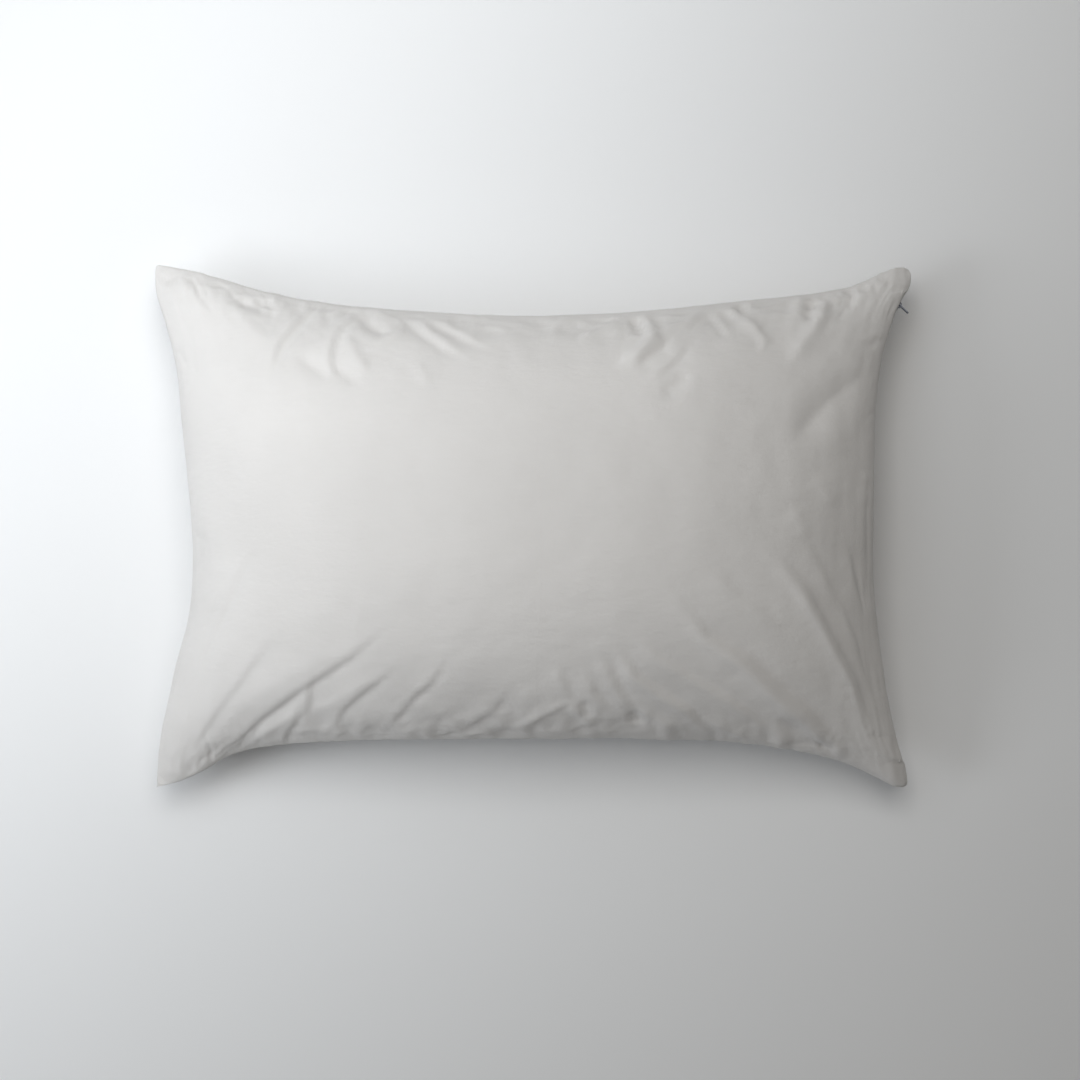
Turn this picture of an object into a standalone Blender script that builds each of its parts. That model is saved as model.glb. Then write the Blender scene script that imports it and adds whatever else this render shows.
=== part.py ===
"""A plump bed pillow: a zipped cotton cover around a stuffed inner pillow, lying flat on a surface.

+X runs along the pillow to the zipped end, +Y across it and +Z up. The origin is on the surface that the
pillow lies on, under its middle. Every shell of the pillow follows one curved sheet, the sheet that the
cover's seam lies in: u and v run over it from -1 to 1, and the seam is where |u| or |v| is 1.
"""

import math

import bmesh
import bpy
from mathutils import Matrix, Vector

MM = 0.001

# The cover, puffed up by what is inside it. Its panels are cut and sewn to 700 x 500 mm.
CORNER_X = 338 * MM  # half the distance between the corner tips, along the pillow
CORNER_Y = 235 * MM
MIDDLE_X = 299 * MM  # half the width where the sides pull in most
MIDDLE_Y = 186 * MM
SEAM_Z = 85 * MM  # height of the seam at the middle of each side
CORNER_DROOP = 40 * MM  # how much lower the corner tips hang
TOP_RISE = 105 * MM  # crown of the top panel above the seam
BOTTOM_DEPTH = 118 * MM  # belly of the bottom panel, before the surface flattens it
CROWN_POWER = 2.4  # 2 is an ellipse in section, and more is fuller
FABRIC = 0.9 * MM
SEAM_GAP = 0.3 * MM  # between two pieces of cloth that touch
FOLDED_EDGE = 2 * MM  # the cloth is doubled where a panel turns in at the seam
SEAM_ALLOWANCE = 8 * MM
OVERLOCK_BITE = 2.5 * MM
THREAD = 0.5 * MM

# The inner pillow, which doesn't reach into the cover's corners.
CASE_INSET = 16 * MM
CASE_DROP = 6 * MM
CASE_ALLOWANCE = 8 * MM
FILL_INSET = 27 * MM
FILL_DROP = 8 * MM

# The coil zip in the +X side. It follows a circular arc, and w is up and o is out across that arc.
ZIP_INSET = 2.0 * MM  # the chain's centre lies this far inside the seam line
ZIP_HALF_GAP = 4.6 * MM  # from the chain's centre to each panel's folded edge
ZIP_HALF_LENGTH = 202 * MM  # of the coils, along Y
TAPE_HALF_LENGTH = 206 * MM
LIPS_OPEN_TO = 212 * MM
LIPS_CLOSED_AT = 220 * MM  # past the tapes the two panels are sewn together again
TAPE_THICKNESS = 0.7 * MM
COIL_INNER = 0.7 * MM
COIL_OUTER = 2.4 * MM
COIL_HALF_THICK = 0.8 * MM
CHAMFER = 0.3 * MM
STITCH_AT = 8 * MM  # the row of stitches, up or down from the chain

# The slider, with its own length along the zip.
SLIDER_HALF_LENGTH = 4.3 * MM
SHOULDER_HALF_WIDTH = 4.0 * MM
TAIL_HALF_WIDTH = 3.4 * MM
PLATE = 0.8 * MM
PLATE_CLEAR = 0.3 * MM
FLANGE_CLEAR = 0.35 * MM
POST_HALF_WIDTH = 0.4 * MM
BRIDGE_HALF_LENGTH = 2.6 * MM
BRIDGE_HALF_WIDTH = 0.8 * MM
BRIDGE_RISE = 2.6 * MM
BRIDGE_THICK = 0.7 * MM
STOP_LENGTH = 1.6 * MM
STOP_CLEAR = 0.5 * MM

# The pull tab, measured from its pivot.
TAB_REACH = 10.5 * MM
TAB_HALF_WIDTH = 1.8 * MM
TAB_THICK = 0.9 * MM
TAB_WINDOW_HALF_WIDTH = 1.1 * MM
TAB_WINDOW_REACH = 3.1 * MM
TAB_BAR = 0.4 * MM  # half the thickness of the bar that hangs in the bridge
TAB_LEAN = math.radians(30)  # it stands out and leans towards the zip's open end

ARC_STEP = math.radians(1.5)


# ---------------------------------------------------------------- materials and objects


def make_material(name, color, roughness, metallic=0.0):
    material = bpy.data.materials.new(name)
    material.use_nodes = True
    shader = material.node_tree.nodes["Principled BSDF"]
    shader.inputs["Base Color"].default_value = (*color, 1.0)
    shader.inputs["Roughness"].default_value = roughness
    shader.inputs["Metallic"].default_value = metallic
    return material


def add_object(name, bm, material, smooth=True, parent=None):
    """A mesh object of one closed body, its faces turned outwards."""
    bmesh.ops.recalc_face_normals(bm, faces=bm.faces)
    if bm.calc_volume(signed=True) < 0:
        bmesh.ops.reverse_faces(bm, faces=bm.faces)
    mesh = bpy.data.meshes.new(name)
    bm.to_mesh(mesh)
    bm.free()
    if smooth:
        mesh.shade_smooth()
        mesh.set_sharp_from_angle(angle=math.radians(40))
    mesh.materials.append(material)
    obj = bpy.data.objects.new(name, mesh)
    bpy.context.scene.collection.objects.link(obj)
    obj.parent = parent
    return obj


def add_empty(name, matrix, parent=None):
    empty = bpy.data.objects.new(name, None)
    bpy.context.scene.collection.objects.link(empty)
    empty.parent = parent
    empty.matrix_local = matrix
    return empty


# ---------------------------------------------------------------- the pillow's curved shells


def side_sag():
    """How far the middle of an end's seam is from the line between its tips: in plan and in height."""
    return math.hypot(CORNER_X - MIDDLE_X, CORNER_DROOP)


def arc_radius(half_chord, sag):
    return (half_chord**2 + sag**2) / (2 * sag)


def sag_share(t, half_chord, sag):
    """0 at the middle of a side and 1 at its tips, t being -1 to 1 along it, on a circular arc."""
    radius = arc_radius(half_chord, sag)
    return (radius - math.sqrt(radius**2 - (t * half_chord) ** 2)) / sag


def seam_sheet(u, v):
    """A point of the sheet that the seam lies in."""
    to_tip_y = sag_share(v, CORNER_Y, side_sag())
    to_tip_x = sag_share(u, CORNER_X, math.hypot(CORNER_Y - MIDDLE_Y, CORNER_DROOP))
    return Vector(
        (
            u * (MIDDLE_X + (CORNER_X - MIDDLE_X) * to_tip_y),
            v * (MIDDLE_Y + (CORNER_Y - MIDDLE_Y) * to_tip_x),
            SEAM_Z - CORNER_DROOP * to_tip_x * to_tip_y,
        )
    )


def inset_sheet(u, v, inset):
    return seam_sheet(u * (1 - inset / MIDDLE_X), v * (1 - inset / MIDDLE_Y))


def fullness(u, v):
    """1 at the pillow's middle and 0 on the seam, with a vertical rise at the seam."""
    return math.sqrt((1 - abs(u) ** CROWN_POWER) * (1 - abs(v) ** CROWN_POWER))


def skin_point(u, v, side, inset, drop, lift):
    """A point of the shell that lies inset and drop inside the cover, and starts lift from the seam sheet."""
    crown = TOP_RISE if side > 0 else BOTTOM_DEPTH
    point = inset_sheet(u, v, inset)
    point.z += side * (lift + (crown - drop - lift) * fullness(u, v))
    point.z = max(point.z, drop)
    return point


def spaced(count):
    """-1 to 1, closer together near both ends, where a shell curves most."""
    return [math.sin(math.pi / 2 * (2 * i / count - 1)) for i in range(count + 1)]


def cover_rows():
    """The cover's rows from -1 to 1, with one where the zip ends and one where the panels are joined again."""
    zip_end = LIPS_OPEN_TO / CORNER_Y
    half = [zip_end * i / 6 for i in range(1, 7)] + [LIPS_CLOSED_AT / CORNER_Y, 0.96, 0.985, 1.0]
    return [-v for v in reversed(half)] + [0.0] + half


def rim_of(us, vs):
    """The (column, row) pairs round the edge of a grid, in order."""
    last_u, last_v = len(us) - 1, len(vs) - 1
    south = [(i, 0) for i in range(last_u)]
    east = [(last_u, j) for j in range(last_v)]
    north = [(i, last_v) for i in range(last_u, 0, -1)]
    west = [(0, j) for j in range(last_v, 0, -1)]
    return south + east + north + west


def add_grid(bm, us, vs, place):
    """A grid of vertices at place(u, v), in triangles whose long sides run from the corners to the middle,
    so that shells of the same grid stay apart."""
    rows = [[bm.verts.new(place(u, v)) for v in vs] for u in us]
    for i in range(len(us) - 1):
        for j in range(len(vs) - 1):
            a, b, c, d = rows[i][j], rows[i + 1][j], rows[i + 1][j + 1], rows[i][j + 1]
            if (us[i] + us[i + 1]) * (vs[j] + vs[j + 1]) < 0:
                a, b, c, d = b, c, d, a
            bm.faces.new((a, b, c))
            bm.faces.new((a, c, d))
    return rows


def bridge_rings(bm, first, second):
    """A band between two rings of vertices, in triangles that match those of any band beside it."""
    for k in range(len(first)):
        after = (k + 1) % len(first)
        bm.faces.new((first[k], first[after], second[after]))
        bm.faces.new((first[k], second[after], second[k]))


def zipped_share(u, v):
    """1 where the panels' edges stand apart for the zip, 0 where they are sewn together."""
    if u < 1:
        return 0.0
    past_open = (abs(v) * CORNER_Y - LIPS_OPEN_TO) / (LIPS_CLOSED_AT - LIPS_OPEN_TO)
    return 1 - min(max(past_open, 0.0), 1.0)


def add_panel(name, side, inset, drop, allowance, us, vs, material, zipped=False):
    """Half of a case: a crowned panel of cloth whose edge turns in to a seam allowance."""

    def lift(u, v):
        open_by = zipped_share(u, v) if zipped else 0.0
        return SEAM_GAP / 2 + open_by * (ZIP_HALF_GAP - SEAM_GAP / 2)

    def outside(u, v):
        return skin_point(u, v, side, inset, drop, lift(u, v))

    def inside(u, v):
        return skin_point(u, v, side, inset + FOLDED_EDGE, drop + FABRIC, lift(u, v) + FABRIC)

    def turned_in(u, v, thickness):
        folded = FOLDED_EDGE + 0.15 * FOLDED_EDGE
        open_by = zipped_share(u, v) if zipped else 0.0
        width = allowance + open_by * (folded - allowance)
        point = inset_sheet(u, v, inset + width)
        point.z += side * (lift(u, v) + thickness)
        return point

    bm = bmesh.new()
    outer = add_grid(bm, us, vs, outside)
    inner = add_grid(bm, us, vs, inside)
    rim = rim_of(us, vs)
    loops = [[outer[i][j] for i, j in rim]]
    for thickness in (0.0, FABRIC):
        loops.append([bm.verts.new(turned_in(us[i], vs[j], thickness)) for i, j in rim])
    loops.append([inner[i][j] for i, j in rim])
    for first, second in zip(loops, loops[1:], strict=False):
        bridge_rings(bm, first, second)
    return add_object(name, bm, material)


def add_fill(name, us, vs, material):
    """The stuffing: one closed body, with a rounded edge where its two sides meet."""
    bm = bmesh.new()
    grids = [
        add_grid(bm, us, vs, lambda u, v, s=side: skin_point(u, v, s, FILL_INSET, FILL_DROP, FABRIC))
        for side in (1, -1)
    ]
    rim = rim_of(us, vs)
    bridge_rings(bm, *[[grid[i][j] for i, j in rim] for grid in grids])
    return add_object(name, bm, material)


def add_overlock(name, path, allowance, material, closed=False):
    """Thread wrapped round the raw edges of two seam allowances, along path's (u, v, inset) stations."""
    near, far = allowance - OVERLOCK_BITE, allowance + SEAM_GAP
    low = SEAM_GAP / 2 + FABRIC + SEAM_GAP
    high = low + THREAD
    profile = [
        (near, low), (far, low), (far, -low), (near, -low),
        (near, -high), (far + THREAD, -high), (far + THREAD, high), (near, high),
    ]  # fmt: skip
    bm = bmesh.new()
    loops = []
    for u, v, inset in path:
        loop = []
        for width, height in profile:
            point = inset_sheet(u, v, inset + width)
            point.z += height
            loop.append(bm.verts.new(point))
        loops.append(loop)
    pairs = list(zip(loops, loops[1:], strict=False))
    if closed:
        pairs.append((loops[-1], loops[0]))
    for first, second in pairs:
        bridge_rings(bm, first, second)
    if not closed:
        bm.faces.new(loops[0])
        bm.faces.new(loops[-1])
    return add_object(name, bm, material, smooth=False)


# ---------------------------------------------------------------- the zip's arc


def zip_frame():
    """The matrix of the zip's own axis: X points from the arc's centre to the arc's middle, and Z is the
    axis that the slider turns about. Positive turns go from the closed end to the open one."""
    lean = side_sag()
    to_arc = Vector((-(CORNER_X - MIDDLE_X) / lean, 0, CORNER_DROOP / lean))
    along = Vector((0, -1, 0))
    axis = to_arc.cross(along)
    middle = Vector((MIDDLE_X - ZIP_INSET, 0, SEAM_Z))
    centre = middle - to_arc * arc_radius(CORNER_Y, lean)
    turn = Matrix((to_arc, along, axis)).transposed().to_4x4()
    return Matrix.Translation(centre) @ turn


def zip_radius():
    return arc_radius(CORNER_Y, side_sag())


def zip_angle(y):
    """The angle about the zip's axis at which the arc passes y."""
    return -math.asin(y / zip_radius())


def zip_point(angle, w, o):
    """A point beside the zip's arc, w up and o outwards, in the zip axis's own space."""
    lean = side_sag()
    across, up = (CORNER_X - MIDDLE_X) / lean, CORNER_DROOP / lean
    reach = zip_radius() + w * up - o * across
    return Vector((reach * math.cos(angle), reach * math.sin(angle), w * across + o * up))


def add_swept(name, profile, from_y, to_y, material, parent):
    """A strip of constant (w, o) profile along the zip's arc."""
    start, end = zip_angle(from_y), zip_angle(to_y)
    steps = max(1, math.ceil(abs(end - start) / ARC_STEP))
    bm = bmesh.new()
    loops = [
        [bm.verts.new(zip_point(start + (end - start) * k / steps, w, o)) for w, o in profile]
        for k in range(steps + 1)
    ]
    for first, second in zip(loops, loops[1:], strict=False):
        bridge_rings(bm, first, second)
    bm.faces.new(loops[0])
    bm.faces.new(loops[-1])
    return add_object(name, bm, material, parent=parent)


def tape_profile(side):
    """The tape lies under the coil, and bends in behind the panel that it is sewn to."""
    face = [(0.6, -1.1), (5.0, -1.1), (7.5, -2.6), (10.5, -6.0)]
    outer = [(side * w * MM, o * MM) for w, o in face]
    inner = [(w, o - TAPE_THICKNESS) for w, o in reversed(outer)]
    return outer + inner


def coil_profile(side):
    """One half of the chain, without the heads that interlock with the other half."""
    inner, outer, thick = COIL_INNER, COIL_OUTER, COIL_HALF_THICK
    corners = [
        (inner, -thick), (outer - CHAMFER, -thick), (outer, CHAMFER - thick),
        (outer, thick - CHAMFER), (outer - CHAMFER, thick), (inner, thick),
    ]  # fmt: skip
    return [(side * w, o) for w, o in corners]


def stitch_profile(side):
    """A row of stitches, behind the tape."""
    w = side * STITCH_AT
    back = -3.9 * MM - TAPE_THICKNESS - SEAM_GAP
    return [(w, back), (w + THREAD, back), (w + THREAD, back - THREAD), (w, back - THREAD)]


def stop_profile(inner, outer):
    top = COIL_HALF_THICK + 0.2 * MM
    return [(inner, -COIL_HALF_THICK), (outer, -COIL_HALF_THICK), (outer, top), (inner, top)]


# ---------------------------------------------------------------- the slider and its pull tab


def prism(bm, outline, low, high, matrix=None):
    """A closed body from a flat outline, between two heights along Z, in matrix's space."""
    matrix = matrix or Matrix.Identity(4)
    rings = [[bm.verts.new(matrix @ Vector((x, y, z))) for x, y in outline] for z in (low, high)]
    bridge_rings(bm, *rings)
    for ring in rings:
        bm.faces.new(ring)


def helper(name, parent, outline, low, high, matrix=None):
    """A shape that a Boolean uses, and that isn't a part itself."""
    bm = bmesh.new()
    prism(bm, outline, low, high, matrix)
    bmesh.ops.recalc_face_normals(bm, faces=bm.faces)
    mesh = bpy.data.meshes.new(name)
    bm.to_mesh(mesh)
    bm.free()
    obj = bpy.data.objects.new(name, mesh)
    bpy.context.scene.collection.objects.link(obj)
    obj.parent = parent
    obj.hide_render = True
    obj.display_type = "WIRE"
    return obj


def combine(obj, other, operation):
    modifier = obj.modifiers.new(other.name, "BOOLEAN")
    modifier.operation = operation
    modifier.object = other
    modifier.solver = "EXACT"


def shield():
    """The outline of the slider's plates: wide shoulders towards the closed end, -X here."""
    length, shoulder, tail = SLIDER_HALF_LENGTH, SHOULDER_HALF_WIDTH, TAIL_HALF_WIDTH
    half = [
        (-length, 0.55 * shoulder), (-0.8 * length, 0.9 * shoulder), (-0.5 * length, shoulder),
        (0.1 * length, tail), (0.9 * length, tail), (length, 0.8 * tail),
    ]  # fmt: skip
    return half + [(x, -y) for x, y in reversed(half)]


def rectangle(x0, x1, y0, y1):
    return [(x0, y0), (x1, y0), (x1, y1), (x0, y1)]


def bridge_outline():
    """The arch that the pull tab hangs in, seen from the side, from the plate's top face upwards."""
    length, rise, thick = BRIDGE_HALF_LENGTH, BRIDGE_RISE, BRIDGE_THICK
    foot = -PLATE / 2  # sunk into the plate
    outer = [(-length, foot), (-length, 0.55 * rise), (-0.7 * length, rise)]
    inner = [(thick - length, foot), (thick - length, 0.5 * rise), (-0.6 * length, rise - thick)]
    mirrored_outer = [(-x, y) for x, y in reversed(outer)]
    mirrored_inner = [(-x, y) for x, y in reversed(inner)]
    return outer + mirrored_outer + mirrored_inner[::-1] + inner[::-1]


def outer_plate_base():
    return COIL_HALF_THICK + PLATE_CLEAR


def inner_plate_top():
    return -1.1 * MM - TAPE_THICKNESS - PLATE_CLEAR


def add_slider(parent, material):
    """Two plates on a post, with flanges that hold the coils and a bridge for the tab. In its own space X
    runs along the zip to the open end, Y across it and Z outwards."""
    bm = bmesh.new()
    base = outer_plate_base()
    prism(bm, shield(), base, base + PLATE)
    body = add_object("zip_slider_body", bm, material, smooth=False, parent=parent)

    under = inner_plate_top()
    combine(body, helper("inner_plate", parent, shield(), under - PLATE, under), "UNION")
    nose = -SLIDER_HALF_LENGTH
    post = rectangle(nose + 0.3 * MM, nose + 2.2 * MM, -POST_HALF_WIDTH, POST_HALF_WIDTH)
    combine(body, helper("post", parent, post, under - PLATE / 2, base + PLATE / 2), "UNION")
    for side in (-1, 1):
        inner, outer = side * (COIL_OUTER + FLANGE_CLEAR), side * (TAIL_HALF_WIDTH - 0.02 * MM)
        rail = rectangle(-0.75 * SLIDER_HALF_LENGTH, 0.8 * SLIDER_HALF_LENGTH, *sorted((inner, outer)))
        flange = helper(f"flange_{side}", parent, rail, -0.5 * COIL_HALF_THICK, base + PLATE / 2)
        combine(body, flange, "UNION")
    upright = Matrix.Translation((0, 0, base + PLATE)) @ Matrix.Rotation(math.pi / 2, 4, "X")
    width = BRIDGE_HALF_WIDTH
    combine(body, helper("bridge", parent, bridge_outline(), -width, width, upright), "UNION")
    return body


def pivot_height():
    """The middle of the bridge's window, where the tab's bar hangs."""
    return outer_plate_base() + PLATE + (BRIDGE_RISE - BRIDGE_THICK) / 2


def add_pull_tab(parent, material):
    """A flat tab with a window, whose bar hangs in the bridge. In its own space X runs along the tab from
    the pivot, Y along the pivot and Z through the tab."""
    reach, width, start = TAB_REACH, TAB_HALF_WIDTH, -TAB_BAR
    outline = [
        (start, -width), (0.9 * reach, -width), (reach, -0.6 * width),
        (reach, 0.6 * width), (0.9 * reach, width), (start, width),
    ]  # fmt: skip
    bm = bmesh.new()
    prism(bm, outline, -TAB_THICK / 2, TAB_THICK / 2)
    tab = add_object("zip_pull_tab", bm, material, smooth=False, parent=parent)
    window = rectangle(TAB_BAR, TAB_WINDOW_REACH, -TAB_WINDOW_HALF_WIDTH, TAB_WINDOW_HALF_WIDTH)
    combine(tab, helper("tab_window", parent, window, -TAB_THICK, TAB_THICK), "DIFFERENCE")
    return tab


# ---------------------------------------------------------------- assembly


def add_cover(cotton, thread):
    us, vs = spaced(24), cover_rows()
    for name, side in (("cover_top_panel", 1), ("cover_bottom_panel", -1)):
        add_panel(name, side, 0.0, 0.0, SEAM_ALLOWANCE, us, vs, cotton, zipped=True)
    add_overlock("seam_overlock_left", [(-1, v, 0.0) for v in vs[2:-2]], SEAM_ALLOWANCE, thread)
    add_overlock("seam_overlock_front", [(u, -1, 0.0) for u in us[2:-2]], SEAM_ALLOWANCE, thread)
    add_overlock("seam_overlock_rear", [(u, 1, 0.0) for u in us[2:-2]], SEAM_ALLOWANCE, thread)


def add_inner_pillow(ticking, thread, fibre):
    us, vs = spaced(18), spaced(14)
    for name, side in (("inner_case_top", 1), ("inner_case_bottom", -1)):
        add_panel(name, side, CASE_INSET, CASE_DROP, CASE_ALLOWANCE, us, vs, ticking)
    stations = [(us[i], vs[j], CASE_INSET) for i, j in rim_of(us, vs)]
    add_overlock("inner_case_overlock", stations, CASE_ALLOWANCE, thread, closed=True)
    add_fill("fibre_fill", us, vs, fibre)


def add_zip(tape, nylon, metal, thread):
    axis = add_empty("zip_axis", zip_frame())
    end, start = -ZIP_HALF_LENGTH, ZIP_HALF_LENGTH
    for name, side in (("upper", 1), ("lower", -1)):
        add_swept(f"zip_tape_{name}", tape_profile(side), TAPE_HALF_LENGTH, -TAPE_HALF_LENGTH, tape, axis)
        add_swept(f"zip_coil_{name}", coil_profile(side), start, end, nylon, axis)
        row = stitch_profile(side)
        add_swept(f"zip_stitching_{name}", row, TAPE_HALF_LENGTH, -TAPE_HALF_LENGTH, thread, axis)
        stop = stop_profile(side * COIL_INNER, side * 3 * MM)
        top = start + SEAM_GAP
        add_swept(f"zip_top_stop_{name}", stop, top + STOP_LENGTH, top, metal, axis)
    wide = stop_profile(-3 * MM, 3 * MM)
    add_swept("zip_bottom_stop", wide, end - SEAM_GAP, end - SEAM_GAP - STOP_LENGTH, metal, axis)

    rest_y = start + SEAM_GAP - STOP_CLEAR - SLIDER_HALF_LENGTH
    rest = zip_angle(rest_y)
    origin = zip_point(rest, 0, 0)
    out = (zip_point(rest, 0, MM) - origin).normalized()
    down = (zip_point(rest, -MM, 0) - origin).normalized()
    along = down.cross(out)
    placed = Matrix((along, down, out)).transposed().to_4x4()
    seat = add_empty("slider_seat", Matrix.Translation(origin) @ placed, axis)
    add_slider(seat, metal)

    stand = Matrix.Rotation(-math.pi / 2 + TAB_LEAN, 4, "Y")
    pivot = add_empty("tab_pivot", Matrix.Translation((0, 0, pivot_height())) @ stand, seat)
    add_pull_tab(pivot, metal)


def main():
    for obj in list(bpy.data.objects):
        bpy.data.objects.remove(obj)
    cotton = make_material("cotton_percale", (0.76, 0.75, 0.73), 0.8)
    ticking = make_material("inner_ticking", (0.80, 0.80, 0.79), 0.85)
    fibre = make_material("polyester_fibre", (0.86, 0.86, 0.86), 0.95)
    tape = make_material("zip_tape", (0.72, 0.71, 0.69), 0.85)
    nylon = make_material("zip_nylon", (0.70, 0.70, 0.69), 0.45)
    thread = make_material("sewing_thread", (0.78, 0.77, 0.75), 0.7)
    metal = make_material("slider_metal", (0.13, 0.13, 0.16), 0.4, metallic=0.9)
    add_cover(cotton, thread)
    add_inner_pillow(ticking, thread, fibre)
    add_zip(tape, nylon, metal, thread)


main()
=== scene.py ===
"""The looks of a bed pillow in a zipped cotton cover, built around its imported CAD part.

Lengths in this script are millimetres until a mesh is made. X runs along the pillow, with the zip at +X,
Y across it, towards the rear seam, and Z up from the surface that it rests on.
"""

import math

import bpy
import numpy as np
from mathutils import Matrix, Vector


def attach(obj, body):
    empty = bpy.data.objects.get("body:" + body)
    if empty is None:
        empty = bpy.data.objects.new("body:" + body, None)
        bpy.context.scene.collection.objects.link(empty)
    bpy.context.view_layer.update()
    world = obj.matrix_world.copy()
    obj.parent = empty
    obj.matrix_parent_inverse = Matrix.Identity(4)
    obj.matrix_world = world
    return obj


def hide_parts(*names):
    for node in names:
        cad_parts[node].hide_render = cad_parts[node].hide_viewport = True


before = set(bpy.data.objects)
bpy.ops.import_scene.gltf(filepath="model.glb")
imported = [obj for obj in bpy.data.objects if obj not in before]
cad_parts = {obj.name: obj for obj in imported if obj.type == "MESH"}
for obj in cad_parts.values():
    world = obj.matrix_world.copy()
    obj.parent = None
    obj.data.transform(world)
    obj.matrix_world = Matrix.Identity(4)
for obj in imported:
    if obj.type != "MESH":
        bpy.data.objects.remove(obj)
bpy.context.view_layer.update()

MM = 0.001

# ---------------------------------------------------------------- driving dimensions
HALF_LENGTH = 338  # centre to the corners, along X
HALF_WIDTH = 235  # centre to the corners, along Y
SEAM_Z = 85  # height of the seam at the middle of each side
CORNER_DROOP = 40  # how far the corners hang below that
TOP_RISE = 105
BOTTOM_DEPTH = 118
CROWN_POWER = 2.5  # higher is flatter in the middle
EDGE_POWER = 0.64  # lower is fuller near the seams
MID_LENGTH = 300  # centre to the seam at the middle of each end
MID_WIDTH = 186
TIP_CUTS = ((-1, 1, 2), (1, 1, 5), (1, -1, 5), (-1, -1, 4))  # which corner, and how far it is blunted
TIP_ROUND = 3
TIP_HEADING = np.array([0.66, 0.75])  # the way a corner points
CONTACT_ROUND = 9  # how softly the underside rolls onto what it lies on

# How far the seam pulls in from the straight line between two corners, at places along that side.
REAR_PULL = (
    (-338, 0), (-300, 8.5), (-263, 20), (-227, 30.5), (-191, 37), (-120, 44.5), (-50, 49), (38, 49.2),
    (109, 45.5), (180, 37), (251, 28.5), (287, 20.5), (310, 10), (325, 4.5), (339, 2),
)  # fmt: skip
FRONT_PULL = (
    (-337, 2), (-318, 7), (-299, 15), (-263, 34), (-227, 41.5), (-191, 44.7), (-72, 48.7), (15, 49.3),
    (103, 48.6), (197, 42.8), (251, 33), (287, 21), (306, 11.5), (325, 3), (337, 0),
)  # fmt: skip
LEFT_PULL = (
    (-233, 1), (-213, 4), (-194, 6.7), (-158, 15), (-122, 24), (-87, 34.5), (-34, 40), (0, 39),
    (89, 30), (143, 23), (179, 13), (215, 2), (235, 0),
)  # fmt: skip
RIGHT_PULL = (
    (-235, 1), (-213, 6), (-194, 12.5), (-158, 22), (-122, 28.5), (-52, 37), (36, 37.5), (107, 34),
    (143, 29), (179, 18.5), (197, 11), (216, 1), (233, -1),
)  # fmt: skip

CLOTH_COLUMNS = 260
CLOTH_ROWS = 176
EDGE_FINENESS = 0.35  # share by which cells are smaller at the seams, and larger in the middle
CLOTH_THICK = 0.4
LOWEST = CLOTH_THICK / 2  # of the underside's sheet, above what the pillow rests on

ALLOWANCE = 8  # cloth turned in at the seams
LIP_HALF_GAP = 4.3  # from the zip's chain to each folded lip
LIP_WANDER = 0.35
LIPS_OPEN_TO = 206  # this far along the zip from its middle
LIPS_CLOSED_AT = 212
ZIP_INSET = 2  # from the seam's line in to the chain
ZIP_HALF_LENGTH = 202
TAPE_HALF_LENGTH = 206
TAPER_FROM = 184  # where the tapes and the lower lip begin to draw in
TAPER_LENGTH = 14
TAPER_SHARE = 0.7  # the share of their depth that they lose

# The sewn inner pillow: how far its case and its filling lie inside the cover's seam, and below its crown.
CASE_INSET = 18
CASE_DROP = 8
CASE_ALLOWANCE = 6
CASE_THICK = 0.35
FILL_INSET = 29
FILL_DROP = 12


# ---------------------------------------------------------------- small number tools
def smoothstep(x):
    x = np.clip(x, 0, 1)
    return x * x * (3 - 2 * x)


def blurred(field, *widths):
    """The field smoothed with a Gaussian of that many cells along each axis."""
    for axis, width in enumerate(widths):
        if width <= 0:
            continue
        reach = int(3 * width) + 1
        weights = np.exp(-0.5 * (np.arange(-reach, reach + 1) / width) ** 2)
        weights /= weights.sum()
        pads = [(reach, reach) if a == axis else (0, 0) for a in range(field.ndim)]
        wide = np.pad(field, pads, mode="edge")
        total = np.zeros_like(field)
        for k, weight in enumerate(weights):
            cut = [slice(None)] * field.ndim
            cut[axis] = slice(k, k + field.shape[axis])
            total += weight * wide[tuple(cut)]
        field = total
    return field


def noise(shape, widths, seed):
    """Smooth noise with a spread of 1."""
    field = blurred(np.random.default_rng(seed).standard_normal(shape), *widths)
    return (field - field.mean()) / field.std()


def unit(vectors):
    return vectors / (np.linalg.norm(vectors, axis=-1, keepdims=True) + 1e-9)


def grid_normals(points):
    return unit(np.cross(np.gradient(points, axis=0), np.gradient(points, axis=1)))


# ---------------------------------------------------------------- the cover's outline
class Side:
    """A smooth side of the outline, read by its share of length from -1 to 1."""

    def __init__(self, knots):
        knots = np.array(knots, float)
        at = np.r_[0, np.cumsum(np.linalg.norm(np.diff(knots, axis=0), axis=1))]
        tangent = np.gradient(knots, at, axis=0)
        t = np.linspace(0, at[-1], 600)
        k = np.clip(np.searchsorted(at, t, side="right") - 1, 0, len(at) - 2)
        span = (at[k + 1] - at[k])[:, None]
        s = (t - at[k])[:, None] / span
        p = (
            (2 * s**3 - 3 * s**2 + 1) * knots[k]
            + (s**3 - 2 * s**2 + s) * span * tangent[k]
            + (3 * s**2 - 2 * s**3) * knots[k + 1]
            + (s**3 - s**2) * span * tangent[k + 1]
        )
        length = np.r_[0, np.cumsum(np.linalg.norm(np.diff(p, axis=0), axis=1))]
        self.share = 2 * length / length[-1] - 1
        self.points = p

    def __call__(self, share):
        return np.stack([np.interp(share, self.share, self.points[:, a]) for a in (0, 1)], -1)


rear = Side([(x, HALF_WIDTH - pull) for x, pull in REAR_PULL])
front = Side([(x, pull - HALF_WIDTH) for x, pull in FRONT_PULL])
left = Side([(pull - HALF_LENGTH, y) for y, pull in LEFT_PULL])
right = Side([(HALF_LENGTH - pull, y) for y, pull in RIGHT_PULL])


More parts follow.
